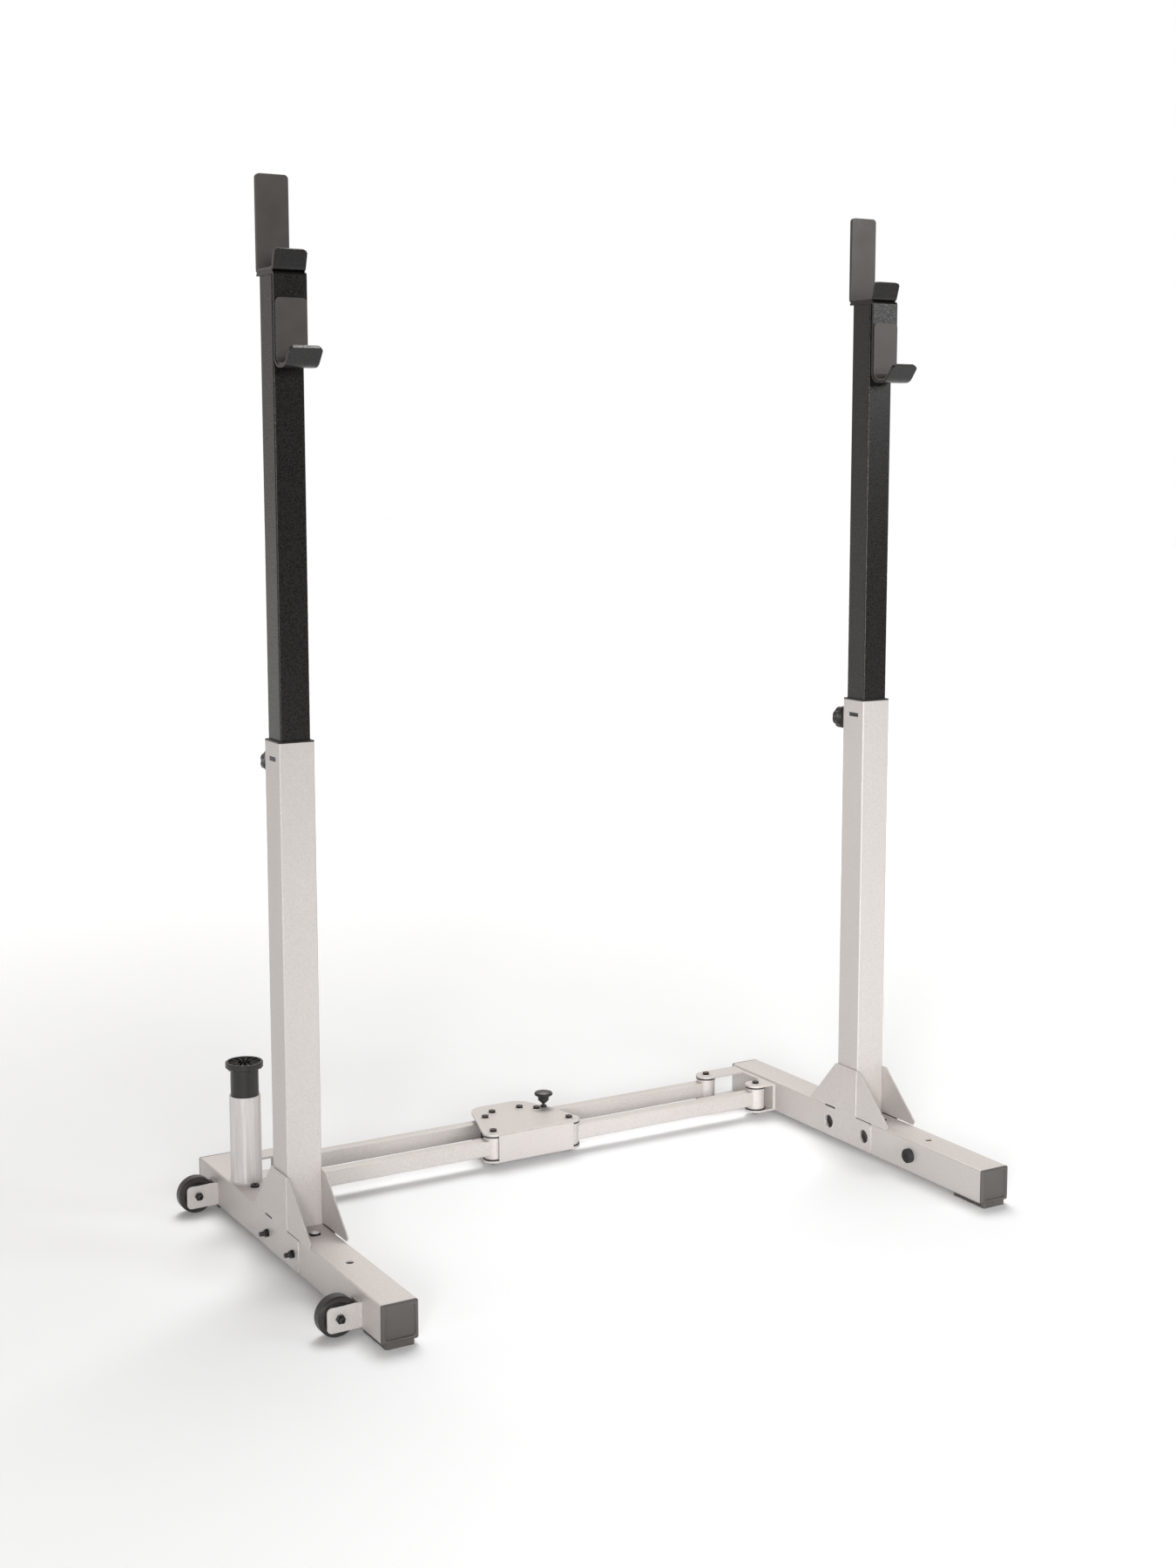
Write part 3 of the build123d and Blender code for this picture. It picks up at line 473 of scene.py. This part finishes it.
def ring_bead(bm, centre, ring_radius, radius, steps=200, ripple=0.12):
    """Weld bead round an upright tube."""
    angles = [2 * pi * step / steps for step in range(steps)]
    centre = Vector(centre)
    points = [centre + Vector((cos(a), sin(a), 0)) * ring_radius for a in angles]
    directions = [Vector((-sin(a), cos(a), 0)) for a in angles]
    loft(bm, bead_rings(points, directions, radius, ripple), closed=True)


def stand_welds(side, finishes):
    """Beads where the gussets meet the side plates and where the link channel meets the foot."""
    low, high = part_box(side + "_gussets")
    bm = bmesh.new()
    for x in (low.x, high.x):
        straight_bead(bm, (x, high.y, low.z + 2 * MM), (x, high.y, high.z - 1 * MM), GUSSET_BEAD)
    foot_low, foot_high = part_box(side + "_foot_tube")
    channel_low, channel_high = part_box(side + "_link_channel")
    face = foot_high.x if side == "left" else foot_low.x
    for y in (channel_low.y, channel_high.y):
        straight_bead(bm, (face, y, foot_low.z + 4 * MM), (face, y, channel_high.z - 2 * MM),
                      CHANNEL_BEAD)
    mesh_piece(side + "_welds", side + "_stand", "silver_coat", bm, finishes)


def left_welds(finishes):
    """Beads round the foot of the storage tube and along the wheel brackets."""
    low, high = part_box("storage_tube")
    bm = bmesh.new()
    centre = ((low.x + high.x) / 2, (low.y + high.y) / 2, low.z + 0.4 * MM)
    ring_bead(bm, centre, (high.x - low.x) / 2, TUBE_BEAD)
    bracket_low, bracket_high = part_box("wheel_brackets")
    for wheel in WHEELS:
        hub_low, hub_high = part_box(wheel)
        middle = (hub_low.y + hub_high.y) / 2
        for y in (middle - BRACKET_REACH, middle + BRACKET_REACH):
            straight_bead(bm, (bracket_high.x, y, bracket_low.z + 3 * MM),
                          (bracket_high.x, y, bracket_high.z - 3 * MM), BRACKET_BEAD)
    mesh_piece("storage_and_bracket_welds", "left_stand", "silver_coat", bm, finishes)


def thread(bm, start, along, length, radius, pitch=1.25 * MM, rise=0.35 * MM):
    """Helical thread on a bolt's end, a skin just outside its plain shank."""
    frame_of = along.to_track_quat("Z", "Y").to_matrix()
    per_turn = 20
    steps = int(length / pitch * per_turn)
    profile = ((0.0, 0.0), (0.45, 1.0), (0.55, 1.0), (1.0, 0.0), (0.5, -0.8))   # pitches, rises
    rings = []
    for step in range(steps + 1):
        angle = 2 * pi * step / per_turn
        advance = (length - pitch) * step / steps
        ring = []
        for across, out in profile:
            reach = radius - 0.05 * MM + out * rise
            local = Vector((cos(angle) * reach, sin(angle) * reach, advance + across * pitch))
            ring.append(start + frame_of @ local)
        rings.append(ring)
    loft(bm, rings)


def side_bolt_threads(side, finishes):
    """Threads that stand out of the nuts on a foot's outer face."""
    low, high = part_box(side + "_post_plates")
    foot_low, foot_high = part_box(side + "_foot_tube")
    outward = -1 if side == "left" else 1
    face = low.x if side == "left" else high.x
    height = (foot_low.z + foot_high.z) / 2
    bm = bmesh.new()
    for y in SIDE_BOLTS_Y:
        start = Vector((face + outward * NUT_DEPTH, y, height))
        thread(bm, start, Vector((outward, 0, 0)), SIDE_BOLT_THREAD, BOLT_R)
    mesh_piece(side + "_side_bolt_threads", side + "_stand", "black_steel", bm, finishes)


def axle_threads(finishes):
    """Threads on the front ends of the wheel axles."""
    bm = bmesh.new()
    for wheel in WHEELS:
        hub_low, hub_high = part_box(wheel)
        centre = (hub_low + hub_high) / 2
        start = Vector((centre.x, centre.y - AXLE_REACH, centre.z))
        thread(bm, start, Vector((0, -1, 0)), AXLE_THREAD, BOLT_R)
    mesh_piece("wheel_axle_threads", "left_stand", "black_steel", bm, finishes)


def turned(bm, points, centre, along, segments=48):
    """Ring turned from (radius, distance) points about an axis through a centre."""
    frame_of = along.to_track_quat("Z", "Y").to_matrix()
    rings = []
    for step in range(segments):
        angle = 2 * pi * step / segments
        rings.append([centre + frame_of @ Vector((cos(angle) * r, sin(angle) * r, d))
                      for r, d in points])
    loft(bm, rings, closed=True)


def washer_points(inner, outer, thick, soft=0.25 * MM):
    """Half section of a washer with softened outer edges."""
    return [(inner, 0), (outer - soft, 0), (outer, soft), (outer, thick - soft),
            (outer - soft, thick), (inner, thick)]


def pivot_washers(body, node, centres, finishes):
    """Thin washers under the heads of the upright bolts."""
    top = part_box(node)[1].z
    bm = bmesh.new()
    for x, y in centres:
        turned(bm, washer_points(*WASHER), Vector((x, y, top)), Vector((0, 0, 1)))
    mesh_piece(node + "_washers", body, "silver_coat", bm, finishes, smooth=False)


def all_washers(finishes):
    """Washers on the housing's bolts and on the pivot bolts of both link channels."""
    low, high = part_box("housing_wall")
    middle = (low.x + high.x) / 2
    front_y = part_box("right_front_bushes")[0].y + FLANGE_R
    rear_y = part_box("right_rear_bushes")[0].y + FLANGE_R
    holes = []
    for sign in (-1, 1):
        holes.append((middle + sign * FRONT_PIVOT_X, front_y))
        holes.append((middle + sign * REAR_PIVOT_X, rear_y))
        holes.append((middle + sign * STOP_BOLT[0], STOP_BOLT[1]))
    pivot_washers("housing", "housing_top", holes, finishes)
    for side, sign in zip(SIDES, (-1, 1)):
        ends = [(middle + sign * (FRONT_PIVOT_X + LINK_LENGTH), front_y),
                (middle + sign * (REAR_PIVOT_X + LINK_LENGTH), rear_y)]
        pivot_washers(side + "_stand", side + "_link_channel", ends, finishes)


def slit_shade_strips(side, finishes):
    """Dark strips in the slits between a stand's side plates, wings and gussets: painted shade standing
    in for the shadow seen through them.
    """
    foot_low, foot_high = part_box(side + "_foot_tube")
    low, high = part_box(side + "_post_plates")
    middle = (low.x + high.x) / 2
    bottom = foot_high.z + SLIT_FOOT
    bm = bmesh.new()
    for sign in (-1, 1):
        face = middle + sign * (foot_high.x - foot_low.x) / 2
        inner, outer = face + sign * 0.2 * MM, face + sign * 0.8 * MM
        # Each strip is painted shade, a dark sheet where the slit holds only shadow.
        for start, end, rise in (REAR_SLIT, FRONT_SLIT):
            top = foot_high.z + rise
            ring = [(inner, bottom), (outer, bottom), (outer, top), (inner, top)]
            loft(bm, [[Vector((x, y, z)) for x, z in ring] for y in (start, end)])
    mesh_piece(side + "_slit_shade_strips", side + "_stand", "black_steel", bm, finishes, smooth=False)


def dome_skin(side, finishes):
    """Bright crown on the domed bolt in the top of a foot."""
    low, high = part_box(side + "_foot_tube")
    steps = 8
    heights = [DOME_RIM + (DOME_TOP - DOME_RIM) * step / steps for step in range(steps + 1)]
    arc = [((DOME_R ** 2 - (z + DOME_SUNK) ** 2) ** 0.5, z) for z in heights]
    inside = [(0.02 * MM, heights[-1] + 0.1 * MM), (0.02 * MM, heights[0])]
    centre = Vector(((low.x + high.x) / 2, DOME_BOLT_Y, high.z))
    bm = bmesh.new()
    turned(bm, arc + inside, centre, Vector((0, 0, 1)))
    mesh_piece(side + "_dome_crown", side + "_stand", "zinc_steel", bm, finishes)


def make_floor():
    """Flat floor under the feet, kept short in front so that dark faces don't mirror it."""
    (left, right), (front, back) = FLOOR_X, FLOOR_Y
    corners = [(left, front, 0.0), (right, front, 0.0), (right, back, 0.0), (left, back, 0.0)]
    bm = bmesh.new()
    bm.faces.new([bm.verts.new(corner) for corner in corners])
    mesh = bpy.data.meshes.new("floor")
    bm.to_mesh(mesh)
    bm.free()
    mesh.materials.append(plain_floor())
    floor = add_object("floor", mesh)
    floor.location = (*FLOOR_MIDDLE, cad_box[0][2])


def main():
    bpy.context.scene.view_settings.view_transform = "Standard"
    make_camera()
    make_world()
    make_lights()
    finishes = make_finishes()
    dress_nodes(finishes)
    for side in SIDES:
        stand_welds(side, finishes)
        side_bolt_threads(side, finishes)
        dome_skin(side, finishes)
        slit_shade_strips(side, finishes)
    left_welds(finishes)
    axle_threads(finishes)
    all_washers(finishes)
    make_floor()


main()
